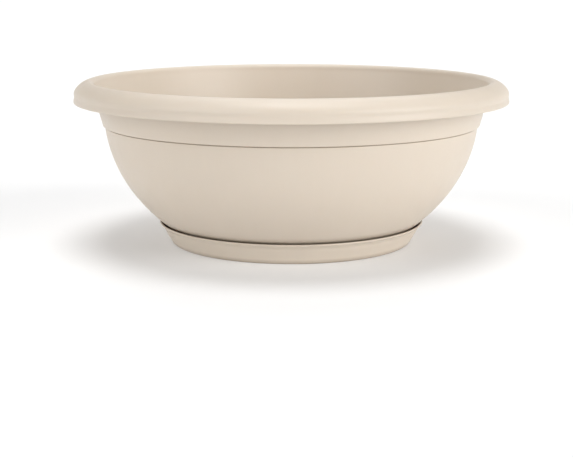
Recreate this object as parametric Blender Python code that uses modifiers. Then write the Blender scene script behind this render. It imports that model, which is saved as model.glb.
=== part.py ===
"""A round bowl planter and the saucer that clips under it, both moulded in plastic.

Units are metres and +Z is up. The origin is at the centre of the saucer's underside,
and the pot stands in the saucer with its drain plate over the saucer's four clip posts.
The posts and the foot notches are placed by their bearing from +X, towards +Y.
"""

import math

import bmesh
import bpy
from mathutils import Matrix

# Pot: the rim
RIM_RADIUS = 0.200
POT_HEIGHT = 0.1485
WALL = 0.0024
ROLL_OUT = 0.0145        # from the crest of the rolled rim out to its side
ROLL_DOWN = 0.0122       # from the crest down to where the side is upright
ROLL_POWER = 1.2         # 1 makes the roll an ellipse, and more makes its shoulder flatter
ROLL_IN = 0.0045         # radius of the roll between the crest and the inner wall
LIP_BOTTOM = 0.1295      # height of the lip's lower edge
LIP_TAPER = 0.0002       # how far the lip's lower edge is drawn in
LIP_EDGE = 0.0008        # height of the stretch that is drawn in

# Pot: the collar, and the narrow groove that parts it from the bowl
COLLAR_BOTTOM = 0.1084
COLLAR_RADIUS = 0.1740
GROOVE_DEPTH = 0.0026    # from the collar's side
GROOVE_HEIGHT = 0.0011

# Pot: the bowl is a quarter ellipse turned about the axis
BOWL_RADIUS = 0.1728
BOWL_DEPTH = 0.1430
BOWL_LEVEL = 0.1203      # height at which the bowl would be upright
BOWL_CROWDING = 1.3      # above 1, the bowl's points gather near its foot
INNER_BEND = (0.0040, 0.0030)    # below and above the collar's foot, where the inner wall bends

# Pot: the foot ring, its notches and the drain plate inside it
FOOT_RADIUS = 0.1108
FOOT_TOP_RADIUS = 0.1122
FOOT_HEIGHT = 0.0095
FOOT_EDGE = 0.0024
FOOT_WALL = 0.0038
FOOT_FILLET = 0.0040
FOOT_DRAFT = 0.0004      # how far the ring's inner side leans in, going up
PLATE_TOP = 0.0105
PLATE_THICK = 0.0026
PLATE_CORNER = (0.0030, 0.0025)  # the sloping corner between the plate and the bowl
NOTCHES = 4
NOTCH_BEARING = -11.1
NOTCH_WIDTH = 0.0262
NOTCH_HEIGHT = 0.0043
DRAINS = 8
DRAIN_RADIUS = 0.0045
DRAIN_CIRCLE = 0.0500

# Saucer
SAUCER_HEIGHT = 0.0195
SAUCER_FLOOR = 0.0018
SAUCER_WALL = 0.0016
SAUCER_BASE_RADIUS = 0.1128
SAUCER_KNEE = (0.1188, 0.0118)   # where the wall starts to flare
SAUCER_FLARE = (0.0012, 0.0030)  # how far the flare goes out and up from the knee
FLOOR_CORNER = (0.0016, 0.0010)  # the sloping corner between the floor and the wall
SAUCER_RIM_RADIUS = 0.1236
SAUCER_BEAD = 0.0009
SAUCER_CORNER = 0.0020

# Clip posts, moulded in one with the saucer
POSTS = 4
POST_CIRCLE = 0.0720
POST_BEARING = 53.4
POST_HEIGHT = 0.0170
STEM_RADIUS = 0.0027
HEAD_RADIUS = 0.0038
HEAD_DOWN = 0.0056       # from the tip down to the underside of the barb
TIP_RADIUS = 0.0026
BARB_EDGE = 0.0006       # the barb's ledge rises this much from the stem
BARB_BAND = 0.0010       # and the head's widest part is this high
POST_ROOT = 0.0011       # how far a post goes down into the floor
POST_BORE = 0.0013
POST_SLOT = 0.0016
SLOT_DEPTH = 0.0120
BORE_DEPTH = 0.0110
POST_HOLE_RADIUS = 0.0043

SEAT_GAP = 0.0003        # between the foot and the saucer's floor
POT_SEAT = SAUCER_FLOOR + SEAT_GAP
CUT_SPARE = 0.0020       # how far a cutter runs past the faces it cuts
TURN_STEPS = 60
HOLE_SIDES = 16
MERGE_DISTANCE = 0.00005
SHELL_COLOUR = (0.650, 0.572, 0.482, 1.0)
POT_ROUGHNESS = 0.45
SAUCER_ROUGHNESS = 0.50


def clear_scene():
    for obj in list(bpy.data.objects):
        bpy.data.objects.remove(obj, do_unlink=True)


def new_collection(name):
    collection = bpy.data.collections.new(name)
    bpy.context.scene.collection.children.link(collection)
    return collection


def plastic(name, roughness):
    """Pale beige moulded plastic."""
    material = bpy.data.materials.new(name)
    material.use_nodes = True
    shader = material.node_tree.nodes["Principled BSDF"]
    shader.inputs["Base Color"].default_value = SHELL_COLOUR
    shader.inputs["Roughness"].default_value = roughness
    shader.inputs["Metallic"].default_value = 0.0
    return material


def arc(centre, radii, start, end, count):
    """Points (r, z) of an ellipse's arc; the angles are in degrees from the outward axis."""
    points = []
    for i in range(count + 1):
        angle = math.radians(start + (end - start) * i / count)
        points.append((centre[0] + radii[0] * math.cos(angle), centre[1] + radii[1] * math.sin(angle)))
    return points


def roll_arc(inset, count):
    """Points down the rolled rim from its crest to its upright side, moved inwards by inset."""
    crest = RIM_RADIUS - ROLL_OUT
    middle = POT_HEIGHT - ROLL_DOWN
    points = []
    for i in range(count + 1):
        angle = math.pi / 2 * i / count
        out = (ROLL_OUT - inset) * math.sin(angle) ** ROLL_POWER
        up = (ROLL_DOWN - inset) * math.cos(angle) ** ROLL_POWER
        points.append((crest + out, middle + up))
    return points


def bowl_point(height, inset):
    """The bowl's outline at this height, moved inwards by inset."""
    fall = (BOWL_LEVEL - height) / (BOWL_DEPTH - inset)
    return ((BOWL_RADIUS - inset) * math.sqrt(1 - fall * fall), height)


def bowl_curve(bottom, top, inset, count):
    """Points up the bowl, closer together near its foot, where it curves most."""
    shares = [(i / count) ** BOWL_CROWDING for i in range(count + 1)]
    heights = [bottom + (top - bottom) * share for share in shares]
    return [bowl_point(height, inset) for height in heights]


def collar_radius(height):
    """Outside radius of the flaring collar between the groove and the roll's centre."""
    inner_wall = RIM_RADIUS - ROLL_OUT - ROLL_IN + WALL
    share = (height - COLLAR_BOTTOM) / (POT_HEIGHT - ROLL_IN - COLLAR_BOTTOM)
    return COLLAR_RADIUS + (inner_wall - COLLAR_RADIUS) * share


def pot_profile():
    """Half section of the pot: up its inside, over the rim, and down its outside."""
    crest = RIM_RADIUS - ROLL_OUT
    roll_top = (crest, POT_HEIGHT - ROLL_IN)
    plate_edge = bowl_point(PLATE_TOP, WALL)[0]
    foot_side = FOOT_TOP_RADIUS + FOOT_FILLET
    foot_edge = (FOOT_RADIUS - FOOT_EDGE, FOOT_EDGE)
    foot_inside = FOOT_RADIUS - FOOT_WALL
    plate_under = PLATE_TOP - PLATE_THICK

    points = [(0.0, PLATE_TOP), (plate_edge - PLATE_CORNER[0], PLATE_TOP)]
    points += bowl_curve(PLATE_TOP + PLATE_CORNER[1], COLLAR_BOTTOM - INNER_BEND[0], WALL, 9)
    points += [(COLLAR_RADIUS - WALL, COLLAR_BOTTOM + INNER_BEND[1])]
    points += arc(roll_top, (ROLL_IN, ROLL_IN), 180, 90, 4)
    points += roll_arc(0.0, 7)[1:]
    points += [(RIM_RADIUS, LIP_BOTTOM + LIP_EDGE), (RIM_RADIUS - LIP_TAPER, LIP_BOTTOM)]
    points += [(RIM_RADIUS - WALL - LIP_TAPER, LIP_BOTTOM)]
    points += roll_arc(WALL, 4)[::-1]
    points += arc(roll_top, (ROLL_IN - WALL, ROLL_IN - WALL), 90, 180, 2)[1:]
    points += [(collar_radius(COLLAR_BOTTOM), COLLAR_BOTTOM)]
    points += [(COLLAR_RADIUS - GROOVE_DEPTH, COLLAR_BOTTOM)]
    points += [(COLLAR_RADIUS - GROOVE_DEPTH, COLLAR_BOTTOM - GROOVE_HEIGHT)]
    points += bowl_curve(PLATE_TOP + FOOT_FILLET, COLLAR_BOTTOM - GROOVE_HEIGHT, 0.0, 10)[::-1]
    points += arc((foot_side, FOOT_HEIGHT), (FOOT_FILLET, FOOT_FILLET), 110, 180, 3)
    points += arc(foot_edge, (FOOT_EDGE, FOOT_EDGE), 0, -90, 2)
    points += [(foot_inside, 0.0), (foot_inside - FOOT_DRAFT, plate_under), (0.0, plate_under)]
    return [(r, z + POT_SEAT) for r, z in points]


def saucer_profile():
    """Half section of the saucer: across its floor, up its wall, round the bead and back under."""
    base = SAUCER_BASE_RADIUS - SAUCER_CORNER
    floor_edge = base - FLOOR_CORNER[0] / 2
    knee_r, knee_z = SAUCER_KNEE
    bead = (SAUCER_RIM_RADIUS - SAUCER_BEAD, SAUCER_HEIGHT - SAUCER_BEAD)

    points = [(0.0, SAUCER_FLOOR), (floor_edge, SAUCER_FLOOR)]
    points += [(floor_edge + FLOOR_CORNER[0], SAUCER_FLOOR + FLOOR_CORNER[1])]
    points += [(knee_r - SAUCER_WALL, knee_z)]
    points += arc(bead, (SAUCER_BEAD, SAUCER_BEAD), 150, -70, 5)
    points += [(knee_r + SAUCER_FLARE[0], knee_z + SAUCER_FLARE[1]), (knee_r, knee_z)]
    points += arc((base, SAUCER_CORNER), (SAUCER_CORNER, SAUCER_CORNER), -10, -90, 3)
    points += [(0.0, 0.0)]
    return points


def post_profile():
    """Half section of a clip post: a thin stem with a barbed, tapered head."""
    foot = SAUCER_FLOOR - POST_ROOT
    tip = SAUCER_FLOOR + POST_HEIGHT
    barb = tip - HEAD_DOWN
    return [
        (0.0, tip),
        (TIP_RADIUS, tip),
        (HEAD_RADIUS, barb + BARB_EDGE + BARB_BAND),
        (HEAD_RADIUS, barb + BARB_EDGE),
        (STEM_RADIUS, barb),
        (STEM_RADIUS, foot),
        (0.0, foot),
    ]


def turned(name, profile, collection, steps):
    """A half section turned about Z by a Screw modifier."""
    mesh = bpy.data.meshes.new(name)
    edges = [(i, i + 1) for i in range(len(profile) - 1)]
    mesh.from_pydata([(r, 0.0, z) for r, z in profile], edges, [])
    obj = bpy.data.objects.new(name, mesh)
    collection.objects.link(obj)
    screw = obj.modifiers.new("turn", "SCREW")
    screw.steps = steps
    screw.render_steps = steps
    screw.use_merge_vertices = True
    screw.merge_threshold = MERGE_DISTANCE
    screw.use_smooth_shade = True
    return obj


def as_mesh(obj):
    """The object with its modifiers applied, as a mesh of its own."""
    depsgraph = bpy.context.evaluated_depsgraph_get()
    return bpy.data.meshes.new_from_object(obj.evaluated_get(depsgraph))


def cutter(name, mesh, collection):
    obj = bpy.data.objects.new(name, mesh)
    obj.hide_render = True
    obj.display_type = "WIRE"
    collection.objects.link(obj)
    return obj


def ring_places(count, bearing, radius):
    """(x, y, angle) of count places evenly spaced round the axis."""
    places = []
    for i in range(count):
        angle = math.radians(bearing + 360.0 * i / count)
        places.append((radius * math.cos(angle), radius * math.sin(angle), angle))
    return places


def add_box(bm, size, place):
    """A box of this size, moved by the matrix place."""
    made = bmesh.ops.create_cube(bm, size=1.0)
    bmesh.ops.transform(bm, matrix=place @ Matrix.Diagonal((*size, 1.0)), verts=made["verts"])


def add_cylinder(bm, radius, low, high, x, y):
    bmesh.ops.create_cone(
        bm,
        cap_ends=True,
        segments=HOLE_SIDES,
        radius1=radius,
        radius2=radius,
        depth=high - low,
        matrix=Matrix.Translation((x, y, (low + high) / 2)),
    )


def mesh_from(bm, name):
    mesh = bpy.data.meshes.new(name)
    bm.to_mesh(mesh)
    bm.free()
    return mesh


def hole_cutter(collection):
    """Cylinders through the drain plate: one for each drain and one for each clip post."""
    bm = bmesh.new()
    high = POT_SEAT + PLATE_TOP + CUT_SPARE
    low = high - PLATE_THICK - 2 * CUT_SPARE
    for x, y, _ in ring_places(DRAINS, POST_BEARING, DRAIN_CIRCLE):
        add_cylinder(bm, DRAIN_RADIUS, low, high, x, y)
    for x, y, _ in ring_places(POSTS, POST_BEARING, POST_CIRCLE):
        add_cylinder(bm, POST_HOLE_RADIUS, low, high, x, y)
    return cutter("plate_hole_cutter", mesh_from(bm, "plate_hole_cutter"), collection)


def notch_cutter(collection):
    """Boxes through the foot ring that let water out from under the pot."""
    bm = bmesh.new()
    depth = FOOT_WALL + 6 * CUT_SPARE
    height = NOTCH_HEIGHT * 2
    for x, y, angle in ring_places(NOTCHES, NOTCH_BEARING, FOOT_RADIUS):
        place = Matrix.Translation((x, y, POT_SEAT)) @ Matrix.Rotation(angle, 4, "Z")
        add_box(bm, (depth, NOTCH_WIDTH, height), place)
    return cutter("foot_notch_cutter", mesh_from(bm, "foot_notch_cutter"), collection)


def post_slot_cutter(collection):
    """The slots that split each post into two springy prongs."""
    bm = bmesh.new()
    tip = SAUCER_FLOOR + POST_HEIGHT
    top, low = tip + CUT_SPARE, tip - SLOT_DEPTH
    for x, y, angle in ring_places(POSTS, POST_BEARING, POST_CIRCLE):
        place = Matrix.Translation((x, y, (top + low) / 2)) @ Matrix.Rotation(angle, 4, "Z")
        add_box(bm, (4 * HEAD_RADIUS, POST_SLOT, top - low), place)
    return cutter("post_slot_cutter", mesh_from(bm, "post_slot_cutter"), collection)


def post_bore_cutter(collection):
    """The bores down the middle of the posts."""
    bm = bmesh.new()
    tip = SAUCER_FLOOR + POST_HEIGHT
    for x, y, _ in ring_places(POSTS, POST_BEARING, POST_CIRCLE):
        add_cylinder(bm, POST_BORE, tip - BORE_DEPTH, tip + 2 * CUT_SPARE, x, y)
    return cutter("post_bore_cutter", mesh_from(bm, "post_bore_cutter"), collection)


def combine(obj, operation, other):
    boolean = obj.modifiers.new(other.name, "BOOLEAN")
    boolean.operation = operation
    boolean.solver = "EXACT"
    boolean.object = other


def clip_posts(collection):
    """The four posts, standing on the saucer's floor and rooted a little way into it."""
    pattern = turned("post_pattern", post_profile(), collection, HOLE_SIDES)
    post = as_mesh(pattern)
    bpy.data.objects.remove(pattern)
    bm = bmesh.new()
    for x, y, angle in ring_places(POSTS, POST_BEARING, POST_CIRCLE):
        first = len(bm.verts)
        bm.from_mesh(post)
        bm.verts.ensure_lookup_table()
        place = Matrix.Translation((x, y, 0.0)) @ Matrix.Rotation(angle, 4, "Z")
        bmesh.ops.transform(bm, matrix=place, verts=bm.verts[first:])
    posts = cutter("clip_posts", mesh_from(bm, "clip_posts"), collection)
    combine(posts, "DIFFERENCE", post_slot_cutter(collection))
    combine(posts, "DIFFERENCE", post_bore_cutter(collection))
    return posts


def make_pot(parts, cutters):
    pot = turned("pot", pot_profile(), parts, TURN_STEPS)
    combine(pot, "DIFFERENCE", hole_cutter(cutters))
    combine(pot, "DIFFERENCE", notch_cutter(cutters))
    pot.data.materials.append(plastic("pot_plastic", POT_ROUGHNESS))
    return pot


def make_saucer(parts, cutters):
    saucer = turned("saucer", saucer_profile(), parts, TURN_STEPS)
    combine(saucer, "UNION", clip_posts(cutters))
    saucer.data.materials.append(plastic("saucer_plastic", SAUCER_ROUGHNESS))
    return saucer


def main():
    clear_scene()
    parts = new_collection("bowl_planter")
    cutters = new_collection("cutters")
    make_saucer(parts, cutters)
    make_pot(parts, cutters)


main()
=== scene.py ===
"""Looks for a round bowl planter standing in its clip-on saucer.

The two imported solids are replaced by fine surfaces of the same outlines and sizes, in satin
plastic, on a white floor under soft studio light. Lengths are metres, and angles are degrees
unless a comment says otherwise. Outlines are (radius, height) points, and each piece's heights are
measured from its own lowest point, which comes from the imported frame.
"""

import math

import bmesh
import bpy
from mathutils import Matrix, Vector


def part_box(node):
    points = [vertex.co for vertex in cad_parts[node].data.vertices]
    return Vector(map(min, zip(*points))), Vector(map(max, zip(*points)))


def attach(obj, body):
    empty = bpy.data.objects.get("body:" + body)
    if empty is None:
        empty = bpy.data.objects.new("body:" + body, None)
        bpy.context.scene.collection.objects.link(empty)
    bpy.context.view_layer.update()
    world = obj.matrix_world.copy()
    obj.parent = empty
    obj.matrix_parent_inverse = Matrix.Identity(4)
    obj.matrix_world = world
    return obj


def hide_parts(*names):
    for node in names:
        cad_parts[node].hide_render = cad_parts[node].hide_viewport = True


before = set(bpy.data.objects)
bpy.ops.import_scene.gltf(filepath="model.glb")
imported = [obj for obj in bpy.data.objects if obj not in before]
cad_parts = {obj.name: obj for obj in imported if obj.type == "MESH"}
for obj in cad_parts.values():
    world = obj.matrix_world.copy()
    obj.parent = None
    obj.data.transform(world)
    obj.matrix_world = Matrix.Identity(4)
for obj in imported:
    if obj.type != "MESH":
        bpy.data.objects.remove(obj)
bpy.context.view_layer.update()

POT_LOW, POT_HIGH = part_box("pot")
SAUCER_LOW, SAUCER_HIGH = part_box("saucer")

# Pot: the overall sizes come from the frame, and the sections repeat part.py's
RIM_RADIUS = POT_HIGH[0]
POT_HEIGHT = POT_HIGH[2] - POT_LOW[2]
WALL = 0.0024
ROLL_OUT = 0.0145
ROLL_DOWN = 0.0122
ROLL_POWER = 1.2
ROLL_IN = 0.0045
LIP_BOTTOM = 0.1295
LIP_TAPER = 0.0002
LIP_ROUND = 0.0006           # where the lip's side turns under its edge
LIP_INSIDE_ROUND = 0.0004
SIDE_LOW = 0.0010            # the rim's side runs down to this height above the lip's edge
SIDE_STEP = 0.0004           # and starts this far below the roll
COVE_HEIGHT = 0.1350         # a soft cove round the rim, where the roll meets the lip
COVE_DEPTH = 0.0008
COVE_WIDTH = 0.0030
COLLAR_BOTTOM = 0.1084
COLLAR_RADIUS = 0.1740
GROOVE_DEPTH = 0.0026
GROOVE_HEIGHT = 0.0011
GROOVE_ROUND = 0.0002
INNER_BEND = (0.0040, 0.0030)  # below and above the collar's foot, where the inner wall bends
INNER_ROUND = 0.0050
BOWL_RADIUS = 0.1728
BOWL_DEPTH = 0.1430
BOWL_LEVEL = 0.1203
BOWL_CROWDING = 1.3          # above 1, the bowl's points gather near its foot
FOOT_RADIUS = 0.1108
FOOT_EDGE = 0.0024
FOOT_WALL = 0.0038
FOOT_HEIGHT = 0.0095
FOOT_TOP_RADIUS = 0.1122
FOOT_FILLET = 0.0040
FOOT_ROUND = 0.0004
FOOT_DRAFT = 0.0004          # how far the ring's inner side leans in, going up
FOOT_BEND = (0.0001, 0.0020)   # where the lean starts: in from the inner side, and up
PLATE_TOP = 0.0105
PLATE_THICK = 0.0026
PLATE_RISE = 0.0032          # the bowl's inside starts this far above the plate
PLATE_ROUND = 0.0036
PLATE_RING = 0.0020          # a ring of this width lies outside the flat underside's fan
FLAT_RIM = 0.0080            # the width left for a rounding at the edge of a flat floor
NOTCHES = 4
NOTCH_BEARING = -11.1
NOTCH_WIDTH = 0.0262
NOTCH_HEIGHT = 0.0043
NOTCH_FLANK = 0.0016         # how far each end of a notch slopes along the foot
NOTCH_CLEAR = 0.0004         # the ring keeps its shape this close to the drain plate
RING_INSIDE = 0.0010         # what lies farther in than this isn't the ring's
DRAINS = 8
DRAIN_RADIUS = 0.0045
DRAIN_CIRCLE = 0.0500
HOLE_CHAMFER = 0.0004

# Saucer
SAUCER_RIM_RADIUS = SAUCER_HIGH[0]
SAUCER_HEIGHT = SAUCER_HIGH[2] - SAUCER_LOW[2]
SAUCER_FLOOR = 0.0018
SAUCER_WALL = 0.0016
SAUCER_BASE_RADIUS = 0.1128
SAUCER_KNEE = (0.1188, 0.0118)
SAUCER_FLARE = (0.0012, 0.0030)  # how far the flare goes out and up from the knee
SAUCER_BEAD = 0.0009
SAUCER_CORNER = 0.0020
FLOOR_OUT = 0.0006           # the floor's inner corner, out from the corner's centre
FLOOR_ROUND = 0.0022
KNEE_ROUND = 0.0020
FLARE_ROUND = 0.0010
BASE_RING = 0.0040           # the same round the saucer's flat underside

# Clip posts on the saucer's floor
POSTS = 4
POST_CIRCLE = 0.0720
POST_BEARING = 53.4
POST_HEIGHT = 0.0170
STEM_RADIUS = 0.0027
HEAD_RADIUS = 0.0038
HEAD_DOWN = 0.0056
TIP_RADIUS = 0.0026
BARB_EDGE = 0.0006           # the barb's ledge rises this much from the stem
BARB_BAND = 0.0010           # and the head's widest part is this high
POST_ROUND = 0.00025
POST_ROOT = 0.00108          # how far a post goes down into the floor
POST_BORE = 0.0013
POST_SLOT = 0.0016
SLOT_DEPTH = 0.0120
BORE_DEPTH = 0.0110
POST_HOLE_RADIUS = 0.0043

# Meshes
TURN_ANGLES = 360
HOLE_SIDES = 40
FLANK_STEPS = 8              # extra angles across each flank of a notch
SAME_ANGLE = 1e-4            # radians: closer angles than this are one
ON_AXIS = 1e-6
CUT_SPARE = 0.0020           # how far a cutter runs past the faces it cuts
SHARP = 32                   # edges that turn more than this stay sharp

# Finish: linear colours, and each noise as its scale, detail and roughness
SAND = (0.660, 0.580, 0.487, 1.0)
SAND_DEEP = (0.632, 0.552, 0.460, 1.0)
SAND_WORN = (0.730, 0.664, 0.580, 1.0)
# painted shade: a dark brown mixed into the colour where ambient occlusion finds nearby surfaces,
# standing in for shade in creases and under the rim
SAND_PAINTED_SHADE = (0.300, 0.235, 0.170, 1.0)
CLOUDS = (9.0, 3.0, 0.55)
STREAKS = (2.4, 3.0, 0.6)
STREAK_STRETCH = (9.0, 5.0)  # how closely streaks follow each other, round the axis and up
SPECKS = (420.0, 1.0, 0.5)
SCUFFS = (60.0, 5.0, 0.7)
WAVES = (34.0, 1.0, 0.5)
GRAIN = (2.0, 0.6)           # detail and roughness: the scale is each finish's own
CLOUD_SHARE = 0.6
SPECK_SHARE = 0.25
TONE_RANGE = (0.15, 1.10)
WORN_EDGES = (0.56, 0.66)    # how pointed an edge is where wear starts, and where it is full
WORN_SCUFFS = (0.42, 0.60)
WORN_SHARE = 0.5
WORN_ROUGHER = 0.12
# the painted shade: how much of the open view darkens the colour, and by how much at most
PAINTED_SHADE_OPENNESS = (0.30, 0.78)     # open share of the view where the painted shade is full, and where it ends
PAINTED_SHADE_SHARE = 0.70
ROUGH_SCUFFS = (0.3, 0.75)
ROUGH_SPREAD = (-0.04, 0.07)
WAVE_BUMP = (0.35, 0.0006)   # strength and height
GRAIN_BUMP = (0.25, 0.00005)
PLASTIC_IOR = 1.49
PLASTIC_SHEEN = 0.42
GLOW_SHARE = 0.06            # the part of the light that passes just under the surface
GLOW_RADII = (1.0, 0.6, 0.35)
GLOW_REACH = 0.003
FINISHES = {                 # scale of the grain, roughness, and how far the painted shade's occlusion reaches
    "pot_plastic": (1500.0, 0.42, 0.030),
    "saucer_plastic": (1700.0, 0.46, 0.006),
}

# Studio: each light has a bearing, a height, a strength and a spread
FLOOR_SIZE = 80.0
FLOOR_GAP = 0.0001
FLOOR_WHITE = (0.74, 0.74, 0.74, 1.0)
FLOOR_ROUGHNESS = 0.9
FLOOR_GLOW = 0.20
SWEEP_LIGHT = 1.02
SWEEP_HEIGHTS = (9.0, 14.0)  # where the white sweep starts to fade, and where it ends
CEILING_LIGHT = 0.02
SOFT_LIGHTS = {
    "key_light": (58.0, 19.0, 0.63, 40.0),
    "fill_light": (-56.0, 28.0, 0.34, 40.0),
    "top_light": (0.0, 90.0, 0.54, 30.0),
    "back_light": (180.0, 50.0, 0.27, 40.0),
}

# Camera: where it stands seen from the pot, for an image 573 wide and 458 high
IMAGE_WIDTH = 573
SENSOR_WIDTH = 36.0
FOCAL_PIXELS = 1291.0
CAMERA_AWAY = 1.200          # from the pot's axis
CAMERA_UP = 0.2490           # above the bottom of the pot's foot
CAMERA_LEFT = 0.0044
CAMERA_DIP = 11.43           # how far it looks down
CLIP_START = 0.02


# Outlines


def arc(centre, radii, start, end, count):
    """Points of an ellipse's arc; the angles are in degrees from the outward axis."""
    points = []
    for i in range(count + 1):
        angle = math.radians(start + (end - start) * i / count)
        points.append((centre[0] + radii[0] * math.cos(angle), centre[1] + radii[1] * math.sin(angle)))
    return points


def line(start, end, count):
    """Points from start to end, without the end itself."""
    shares = [i / count for i in range(count)]
    return [(start[0] + (end[0] - start[0]) * s, start[1] + (end[1] - start[1]) * s) for s in shares]


def corner(before, at, after, radius, count=4):
    """A rounded corner: a parabola that leaves each side at this distance from the corner."""
    at = Vector(at)
    start = at + (Vector(before) - at).normalized() * radius
    end = at + (Vector(after) - at).normalized() * radius
    points = []
    for i in range(count + 1):
        t = i / count
        point = start * (1 - t) ** 2 + at * 2 * t * (1 - t) + end * t * t
        points.append((point[0], point[1]))
    return points


def roll_arc(inset, count):
    """Points down the rolled rim from its crest to its upright side, moved inwards by inset."""
    crest = RIM_RADIUS - ROLL_OUT
    middle = POT_HEIGHT - ROLL_DOWN
    points = []
    for i in range(count + 1):
        angle = math.pi / 2 * i / count
        out = (ROLL_OUT - inset) * math.sin(angle) ** ROLL_POWER
        up = (ROLL_DOWN - inset) * math.cos(angle) ** ROLL_POWER
        points.append((crest + out, middle + up))
    return points


def bowl_point(height, inset):
    fall = (BOWL_LEVEL - height) / (BOWL_DEPTH - inset)
    return ((BOWL_RADIUS - inset) * math.sqrt(1 - fall * fall), height)


def bowl_curve(bottom, top, inset, count):
    heights = [bottom + (top - bottom) * (i / count) ** BOWL_CROWDING for i in range(count + 1)]
    return [bowl_point(height, inset) for height in heights]


def coved(point):
    """Draws the rim in a little around the cove."""
    radius, height = point
    away = (height - COVE_HEIGHT) / COVE_WIDTH
    return (radius - COVE_DEPTH * math.exp(-away * away), height)


def pot_inside():
    """From the middle of the drain plate up the inside to the crest of the rim."""
    crest = RIM_RADIUS - ROLL_OUT
    plate_corner = bowl_point(PLATE_TOP, WALL)
    bowl_start = PLATE_TOP + PLATE_RISE
    collar_foot = (COLLAR_RADIUS - WALL, COLLAR_BOTTOM + INNER_BEND[1])
    roll_top = (crest, POT_HEIGHT - ROLL_IN)
    roll_start = (crest - ROLL_IN, roll_top[1])
    bowl = bowl_curve(bowl_start, COLLAR_BOTTOM - INNER_BEND[0], WALL, 40)

    points = line((0.0, PLATE_TOP), (plate_corner[0] - FLAT_RIM, PLATE_TOP), 3)
    points += corner((0.0, PLATE_TOP), plate_corner, bowl[0], PLATE_ROUND, 6)
    points += bowl[1:-1]
    points += corner(bowl[-2], collar_foot, roll_start, INNER_ROUND, 6)
    points += line(points[-1], roll_start, 8)[1:]
    points += arc(roll_top, (ROLL_IN, ROLL_IN), 180, 90, 12)
    return points


def pot_rim_outside():
    """From the crest down the rolled rim, under its lip and up into the hollow behind it."""
    crest = RIM_RADIUS - ROLL_OUT
    roll_top = (crest, POT_HEIGHT - ROLL_IN)
    lip_outside = (RIM_RADIUS - LIP_TAPER, LIP_BOTTOM)
    lip_inside = (lip_outside[0] - WALL, LIP_BOTTOM)
    hollow = roll_arc(WALL, 10)[::-1]

    roll = roll_arc(0.0, 30)[1:]
    side_top = (RIM_RADIUS, roll[-1][1] - SIDE_STEP)
    side = roll + line(side_top, (RIM_RADIUS, LIP_BOTTOM + SIDE_LOW), 14)
    points = [coved(point) for point in side]
    points += corner(side[-1], lip_outside, lip_inside, LIP_ROUND)
    points += corner(lip_outside, lip_inside, hollow[0], LIP_INSIDE_ROUND)
    points += hollow
    points += arc(roll_top, (ROLL_IN - WALL, ROLL_IN - WALL), 90, 180, 6)[1:]
    return points


def pot_outside(start):
    """From the top of the hollow down the collar and the bowl to the foot, and under the plate."""
    edge = (COLLAR_RADIUS, COLLAR_BOTTOM)
    groove_top = (COLLAR_RADIUS - GROOVE_DEPTH, COLLAR_BOTTOM)
    groove_bottom = (groove_top[0], COLLAR_BOTTOM - GROOVE_HEIGHT)
    bowl = bowl_curve(PLATE_TOP + FOOT_FILLET, groove_bottom[1], 0.0, 44)[::-1]
    foot_side = (FOOT_TOP_RADIUS + FOOT_FILLET, FOOT_HEIGHT)
    foot_edge = (FOOT_RADIUS - FOOT_EDGE, FOOT_EDGE)
    inside = FOOT_RADIUS - FOOT_WALL
    plate_under = (inside - FOOT_DRAFT, PLATE_TOP - PLATE_THICK)

    points = line(start, edge, 12)[1:]
    points += corner(start, edge, groove_top, GROOVE_ROUND)
    points += corner(edge, groove_top, groove_bottom, GROOVE_ROUND)
    points += corner(groove_top, groove_bottom, bowl[0], GROOVE_ROUND)
    points += corner(groove_bottom, bowl[0], bowl[1], GROOVE_ROUND)
    points += bowl[1:]
    points += arc(foot_side, (FOOT_FILLET, FOOT_FILLET), 110, 180, 8)
    points += arc(foot_edge, (FOOT_EDGE, FOOT_EDGE), 0, -90, 8)
    points += corner(foot_edge, (inside, 0.0), plate_under, FOOT_ROUND)
    points += line((inside - FOOT_BEND[0], FOOT_BEND[1]), plate_under, 3)
    points += [plate_under, (plate_under[0] - PLATE_RING, plate_under[1]), (0.0, plate_under[1])]
    return points


def pot_outline():
    rim = pot_rim_outside()
    return pot_inside() + rim + pot_outside(rim[-1])


def saucer_outline():
    """Across the floor, up the inner wall, round the bead, down the outer wall and back under."""
    base = SAUCER_BASE_RADIUS - SAUCER_CORNER
    knee_r, knee_z = SAUCER_KNEE
    bead = (SAUCER_RIM_RADIUS - SAUCER_BEAD, SAUCER_HEIGHT - SAUCER_BEAD)
    bead_arc = arc(bead, (SAUCER_BEAD, SAUCER_BEAD), 150, -70, 14)
    inner_foot = (base + FLOOR_OUT, SAUCER_FLOOR)
    inner_knee = (knee_r - SAUCER_WALL, knee_z)
    outer_knee = (knee_r, knee_z)
    flare = (knee_r + SAUCER_FLARE[0], knee_z + SAUCER_FLARE[1])

    points = line((0.0, SAUCER_FLOOR), (base - FLAT_RIM, SAUCER_FLOOR), 3)
    points += corner((0.0, SAUCER_FLOOR), inner_foot, inner_knee, FLOOR_ROUND, 6)
    points += corner(inner_foot, inner_knee, bead_arc[0], KNEE_ROUND, 4)
    points += bead_arc
    points += corner(bead_arc[-1], flare, outer_knee, FLARE_ROUND, 4)
    points += corner(flare, outer_knee, (SAUCER_BASE_RADIUS, SAUCER_CORNER), KNEE_ROUND, 4)
    points += arc((base, SAUCER_CORNER), (SAUCER_CORNER, SAUCER_CORNER), -8, -90, 10)
    points += [(base - BASE_RING, 0.0), (0.0, 0.0)]
    return points


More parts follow.
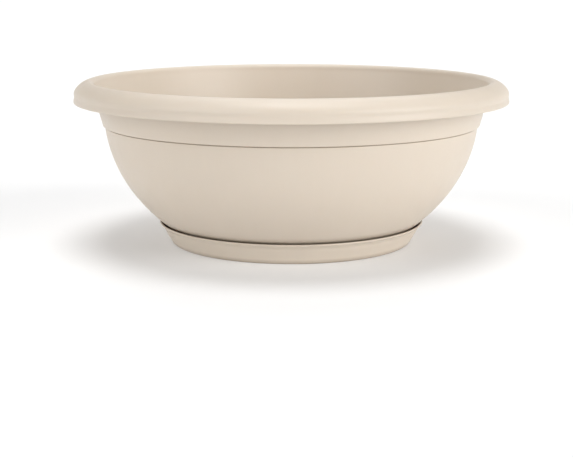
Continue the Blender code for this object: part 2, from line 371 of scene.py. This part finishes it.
def post_outline():
    foot = SAUCER_FLOOR - POST_ROOT
    tip = SAUCER_FLOOR + POST_HEIGHT
    barb = tip - HEAD_DOWN
    corners = [
        (0.0, tip),
        (TIP_RADIUS, tip),
        (HEAD_RADIUS, barb + BARB_EDGE + BARB_BAND),
        (HEAD_RADIUS, barb + BARB_EDGE),
        (STEM_RADIUS, barb),
        (STEM_RADIUS, foot),
        (0.0, foot),
    ]
    points = [corners[0]]
    for before, at, after in zip(corners[:-2], corners[1:-1], corners[2:]):
        points += corner(before, at, after, POST_ROUND, 3)
    return points + [corners[-1]]


# Meshes


def even_angles(count):
    return [2 * math.pi * i / count for i in range(count)]


def turned(outline, angles, low=0.0, lift=None):
    """A mesh of the outline turned about Z. lift(angle, radius, height) may move a point up."""
    bm = bmesh.new()
    rings = []
    for radius, height in outline:
        if radius < ON_AXIS:
            rings.append([bm.verts.new((0.0, 0.0, low + height))] * len(angles))
            continue
        ring = []
        for angle in angles:
            up = lift(angle, radius, height) if lift else height
            ring.append(bm.verts.new((radius * math.cos(angle), radius * math.sin(angle), low + up)))
        rings.append(ring)
    for upper, lower in zip(rings[:-1], rings[1:]):
        for i in range(len(angles)):
            j = (i + 1) % len(angles)
            around = [upper[i], lower[i], lower[j], upper[j]]
            bm.faces.new(list(dict.fromkeys(around)))
    bmesh.ops.recalc_face_normals(bm, faces=bm.faces[:])
    return bm


def ring_places(count, bearing, radius):
    """(x, y, angle) of count places evenly spaced round the axis."""
    places = []
    for i in range(count):
        angle = math.radians(bearing + 360.0 * i / count)
        places.append((radius * math.cos(angle), radius * math.sin(angle), angle))
    return places


def smooth_share(x):
    x = min(max(x, 0.0), 1.0)
    return x * x * (3 - 2 * x)


def notch_lift(angle, radius, height):
    """Shortens the foot ring over each notch and keeps the shape of its edge."""
    top = PLATE_TOP - PLATE_THICK - NOTCH_CLEAR
    if height >= top or radius < FOOT_RADIUS - FOOT_WALL - RING_INSIDE:
        return height
    pitch = 2 * math.pi / NOTCHES
    turn = (angle - math.radians(NOTCH_BEARING)) % pitch
    away = min(turn, pitch - turn) * FOOT_RADIUS
    share = smooth_share((NOTCH_WIDTH / 2 - away) / NOTCH_FLANK)
    raised = NOTCH_HEIGHT * share
    return raised + height * (top - raised) / top


def pot_angles():
    """Even angles, with more of them where a notch's flanks slope."""
    angles = set(even_angles(TURN_ANGLES))
    for _, _, middle in ring_places(NOTCHES, NOTCH_BEARING, FOOT_RADIUS):
        for side in (-1, 1):
            for i in range(FLANK_STEPS + 1):
                along = NOTCH_WIDTH / 2 - NOTCH_FLANK * i / FLANK_STEPS
                angles.add((middle + side * along / FOOT_RADIUS) % (2 * math.pi))
    spaced = []
    for angle in sorted(angles):
        if not spaced or angle - spaced[-1] > SAME_ANGLE:
            spaced.append(angle)
    return spaced


def object_from(bm, name):
    mesh = bpy.data.meshes.new(name)
    bm.to_mesh(mesh)
    bm.free()
    obj = bpy.data.objects.new(name, mesh)
    bpy.context.scene.collection.objects.link(obj)
    return obj


def add_copy(bm, source, place):
    """Adds the source mesh to bm, moved by the matrix place."""
    first = len(bm.verts)
    bm.from_mesh(source)
    bm.verts.ensure_lookup_table()
    bmesh.ops.transform(bm, matrix=place, verts=bm.verts[first:])


def cut_or_join(obj, other, operation):
    """Applies a Boolean with the other object, which is then removed."""
    boolean = obj.modifiers.new(operation, "BOOLEAN")
    boolean.operation = operation
    boolean.solver = "EXACT"
    boolean.object = other
    depsgraph = bpy.context.evaluated_depsgraph_get()
    mesh = bpy.data.meshes.new_from_object(obj.evaluated_get(depsgraph))
    obj.modifiers.clear()
    obj.data = mesh
    bpy.data.objects.remove(other)


def smooth(obj):
    obj.data.shade_smooth()
    obj.data.set_sharp_from_angle(angle=math.radians(SHARP))


def hole_outline(radius, low, high):
    """A cutter for a hole with a small chamfer at both faces of a plate."""
    wide = radius + HOLE_CHAMFER + CUT_SPARE
    return [
        (0.0, high + CUT_SPARE),
        (wide, high + CUT_SPARE),
        (radius, high - HOLE_CHAMFER),
        (radius, low + HOLE_CHAMFER),
        (wide, low - CUT_SPARE),
        (0.0, low - CUT_SPARE),
    ]


def plate_holes():
    """Cutters for the drains and for the holes that the clip posts pass through."""
    low, high = PLATE_TOP - PLATE_THICK, PLATE_TOP
    rows = [
        (DRAIN_RADIUS, ring_places(DRAINS, POST_BEARING, DRAIN_CIRCLE)),
        (POST_HOLE_RADIUS, ring_places(POSTS, POST_BEARING, POST_CIRCLE)),
    ]
    bm = bmesh.new()
    for radius, places in rows:
        pattern = bpy.data.meshes.new("hole_pattern")
        turned(hole_outline(radius, low, high), even_angles(HOLE_SIDES), POT_LOW[2]).to_mesh(pattern)
        for x, y, _ in places:
            add_copy(bm, pattern, Matrix.Translation((x, y, 0.0)))
    return object_from(bm, "plate_holes")


def post_splits():
    """Cutters for the slots that part each post's two prongs."""
    tip = SAUCER_FLOOR + POST_HEIGHT
    high, low = tip + CUT_SPARE, tip - SLOT_DEPTH
    bm = bmesh.new()
    for x, y, angle in ring_places(POSTS, POST_BEARING, POST_CIRCLE):
        place = Matrix.Translation((x, y, (high + low) / 2)) @ Matrix.Rotation(angle, 4, "Z")
        size = Matrix.Diagonal((4 * HEAD_RADIUS, POST_SLOT, high - low, 1.0))
        made = bmesh.ops.create_cube(bm, size=1.0)
        bmesh.ops.transform(bm, matrix=place @ size, verts=made["verts"])
    return object_from(bm, "post_slots")


def post_bores():
    """Cutters for the bores down the middle of the posts."""
    tip = SAUCER_FLOOR + POST_HEIGHT
    low = tip - BORE_DEPTH
    high = tip + 2 * CUT_SPARE
    outline = [(0.0, high), (POST_BORE, high), (POST_BORE, low), (0.0, low)]
    pattern = bpy.data.meshes.new("bore_pattern")
    turned(outline, even_angles(HOLE_SIDES)).to_mesh(pattern)
    bm = bmesh.new()
    for x, y, _ in ring_places(POSTS, POST_BEARING, POST_CIRCLE):
        add_copy(bm, pattern, Matrix.Translation((x, y, 0.0)))
    return object_from(bm, "post_bores")


def clip_posts():
    pattern = bpy.data.meshes.new("post_pattern")
    turned(post_outline(), even_angles(HOLE_SIDES)).to_mesh(pattern)
    bm = bmesh.new()
    for x, y, _ in ring_places(POSTS, POST_BEARING, POST_CIRCLE):
        add_copy(bm, pattern, Matrix.Translation((x, y, 0.0)))
    posts = object_from(bm, "clip_posts")
    cut_or_join(posts, post_splits(), "DIFFERENCE")
    cut_or_join(posts, post_bores(), "DIFFERENCE")
    return posts


# Materials


class Nodes:
    """Adds shader nodes to a material and links them."""

    def __init__(self, material):
        material.use_nodes = True
        self.tree = material.node_tree
        self.shader = self.tree.nodes["Principled BSDF"]

    def add(self, kind, inputs=None, **settings):
        node = self.tree.nodes.new(kind)
        for name, value in settings.items():
            setattr(node, name, value)
        for name, value in (inputs or {}).items():
            self.put(node.inputs[name], value)
        return node

    def put(self, socket, value):
        if isinstance(value, bpy.types.NodeSocket):
            self.tree.links.new(value, socket)
        else:
            socket.default_value = value

    def math(self, operation, a, b=0.0, clamp=False):
        node = self.add("ShaderNodeMath", {0: a, 1: b}, operation=operation, use_clamp=clamp)
        return node.outputs[0]

    def noise(self, vector, scale, detail, roughness):
        node = self.add(
            "ShaderNodeTexNoise",
            {"Vector": vector, "Scale": scale, "Detail": detail, "Roughness": roughness},
        )
        return node.outputs[0]

    def between(self, value, low, high, out_low=0.0, out_high=1.0):
        node = self.add(
            "ShaderNodeMapRange",
            {"Value": value, "From Min": low, "From Max": high, "To Min": out_low, "To Max": out_high},
        )
        return node.outputs[0]

    def bump(self, height, amount, normal=None):
        inputs = {"Height": height, "Strength": amount[0], "Distance": amount[1]}
        if normal:
            inputs["Normal"] = normal
        return self.add("ShaderNodeBump", inputs).outputs[0]

    def mix(self, share, first, second):
        node = self.add("ShaderNodeMix", data_type="RGBA")
        self.put(node.inputs["Factor"], share)
        self.put(node.inputs["A"], first)
        self.put(node.inputs["B"], second)
        return node.outputs["Result"]


def moulded_plastic(name):
    """Satin sand-coloured plastic: faint flow marks, fine mould grain, and paler worn edges.

    Shade is painted into the colour where other surfaces lie near: in creases, in the groove and under
    the rim's lip.
    """
    grain, gloss, shade_reach = FINISHES[name]
    material = bpy.data.materials.new(name)
    n = Nodes(material)
    place = n.add("ShaderNodeTexCoord").outputs["Object"]
    xyz = n.add("ShaderNodeSeparateXYZ", {"Vector": place}).outputs
    turn = n.math("ARCTAN2", xyz[1], xyz[0])
    streak_place = n.add(
        "ShaderNodeCombineXYZ",
        {
            "X": n.math("MULTIPLY", turn, STREAK_STRETCH[0]),
            "Y": n.math("MULTIPLY", xyz[2], STREAK_STRETCH[1]),
        },
    ).outputs[0]

    cloud = n.noise(place, *CLOUDS)
    streaks = n.noise(streak_place, *STREAKS)
    speck = n.noise(place, *SPECKS)
    scuffs = n.noise(place, *SCUFFS)
    pointed = n.add("ShaderNodeNewGeometry").outputs["Pointiness"]
    edge = n.between(pointed, *WORN_EDGES)
    worn = n.math("MULTIPLY", edge, n.between(scuffs, *WORN_SCUFFS), clamp=True)

    cloud = n.math("MULTIPLY", cloud, CLOUD_SHARE)
    tone = n.math("ADD", cloud, n.math("MULTIPLY", streaks, 1 - CLOUD_SHARE))
    tone = n.math("ADD", tone, n.math("MULTIPLY", n.math("SUBTRACT", speck, 0.5), SPECK_SHARE))
    body = n.mix(n.between(tone, *TONE_RANGE), SAND, SAND_DEEP)
    colour = n.mix(n.math("MULTIPLY", worn, WORN_SHARE), body, SAND_WORN)
    # painted shade: ambient occlusion within the given reach darkens the colour in the groove, under
    # the rim's lip and at the posts' roots
    shade_occlusion = n.add("ShaderNodeAmbientOcclusion", {"Distance": shade_reach}).outputs["AO"]
    colour = n.mix(n.between(shade_occlusion, *PAINTED_SHADE_OPENNESS, PAINTED_SHADE_SHARE, 0.0), colour, SAND_PAINTED_SHADE)
    n.put(n.shader.inputs["Base Color"], colour)

    rough = n.between(scuffs, *ROUGH_SCUFFS, gloss + ROUGH_SPREAD[0], gloss + ROUGH_SPREAD[1])
    rough = n.math("ADD", rough, n.math("MULTIPLY", worn, WORN_ROUGHER))
    n.put(n.shader.inputs["Roughness"], rough)

    fine = n.noise(place, grain, *GRAIN)
    wave = n.noise(place, *WAVES)
    ripples = n.bump(wave, WAVE_BUMP)
    n.put(n.shader.inputs["Normal"], n.bump(fine, GRAIN_BUMP, ripples))
    n.shader.inputs["IOR"].default_value = PLASTIC_IOR
    n.shader.inputs["Specular IOR Level"].default_value = PLASTIC_SHEEN
    n.shader.inputs["Subsurface Weight"].default_value = GLOW_SHARE
    n.shader.inputs["Subsurface Radius"].default_value = GLOW_RADII
    n.shader.inputs["Subsurface Scale"].default_value = GLOW_REACH
    return material


def floor_white():
    """White studio sweep: a matt surface that glows faintly, like a lit translucent sheet."""
    material = bpy.data.materials.new("floor_white")
    n = Nodes(material)
    n.shader.inputs["Base Color"].default_value = FLOOR_WHITE
    n.shader.inputs["Roughness"].default_value = FLOOR_ROUGHNESS
    n.shader.inputs["Specular IOR Level"].default_value = 0.0
    n.shader.inputs["Emission Color"].default_value = (1.0, 1.0, 1.0, 1.0)
    n.shader.inputs["Emission Strength"].default_value = FLOOR_GLOW
    return material


# Pieces


def make_pot():
    pot = object_from(turned(pot_outline(), pot_angles(), POT_LOW[2], notch_lift), "pot_moulding")
    cut_or_join(pot, plate_holes(), "DIFFERENCE")
    pot.data.materials.append(moulded_plastic("pot_plastic"))
    smooth(pot)
    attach(pot, "pot")
    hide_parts("pot")


def make_saucer():
    outline = turned(saucer_outline(), even_angles(TURN_ANGLES), SAUCER_LOW[2])
    saucer = object_from(outline, "saucer_moulding")
    cut_or_join(saucer, clip_posts(), "UNION")
    saucer.data.materials.append(moulded_plastic("saucer_plastic"))
    smooth(saucer)
    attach(saucer, "saucer")
    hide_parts("saucer")


# Studio


def make_floor():
    bm = bmesh.new()
    bmesh.ops.create_grid(bm, x_segments=4, y_segments=4, size=FLOOR_SIZE / 2)
    floor = object_from(bm, "studio_floor")
    floor.location.z = SAUCER_LOW[2] - FLOOR_GAP
    floor.data.materials.append(floor_white())


def make_room():
    """The room round the set: white low down, as far as a sweep reaches, and dim overhead."""
    world = bpy.data.worlds.new("white_room")
    world.use_nodes = True
    nodes = world.node_tree.nodes
    links = world.node_tree.links
    direction = nodes.new("ShaderNodeTexCoord").outputs["Generated"]
    split = nodes.new("ShaderNodeSeparateXYZ")
    fade = nodes.new("ShaderNodeMapRange")
    fade.inputs["From Min"].default_value = math.sin(math.radians(SWEEP_HEIGHTS[0]))
    fade.inputs["From Max"].default_value = math.sin(math.radians(SWEEP_HEIGHTS[1]))
    fade.inputs["To Min"].default_value = SWEEP_LIGHT
    fade.inputs["To Max"].default_value = CEILING_LIGHT
    links.new(direction, split.inputs[0])
    links.new(split.outputs["Z"], fade.inputs["Value"])
    links.new(fade.outputs[0], nodes["Background"].inputs["Strength"])
    nodes["Background"].inputs["Color"].default_value = (1.0, 1.0, 1.0, 1.0)
    bpy.context.scene.world = world


def soft_light(name, bearing, height, strength, spread):
    """A wide, distant light. Its bearing is measured from the camera's side, to the right."""
    light = bpy.data.lights.new(name, "SUN")
    light.energy = math.pi * strength
    light.angle = math.radians(spread)
    lamp = bpy.data.objects.new(name, light)
    lamp.rotation_euler = (math.radians(90 - height), 0.0, math.radians(bearing))
    bpy.context.scene.collection.objects.link(lamp)


def make_studio():
    make_floor()
    make_room()
    for name, light in SOFT_LIGHTS.items():
        soft_light(name, *light)


def make_camera():
    data = bpy.data.cameras.new("camera")
    data.sensor_width = SENSOR_WIDTH
    data.lens = SENSOR_WIDTH * FOCAL_PIXELS / IMAGE_WIDTH
    data.clip_start = CLIP_START
    camera = bpy.data.objects.new("camera", data)
    camera.location = (-CAMERA_LEFT, -CAMERA_AWAY, POT_LOW[2] + CAMERA_UP)
    camera.rotation_euler = (math.radians(90 - CAMERA_DIP), 0.0, 0.0)
    bpy.context.scene.collection.objects.link(camera)
    bpy.context.scene.camera = camera


make_camera()
make_pot()
make_saucer()
make_studio()
bpy.context.scene.view_settings.view_transform = "Standard"
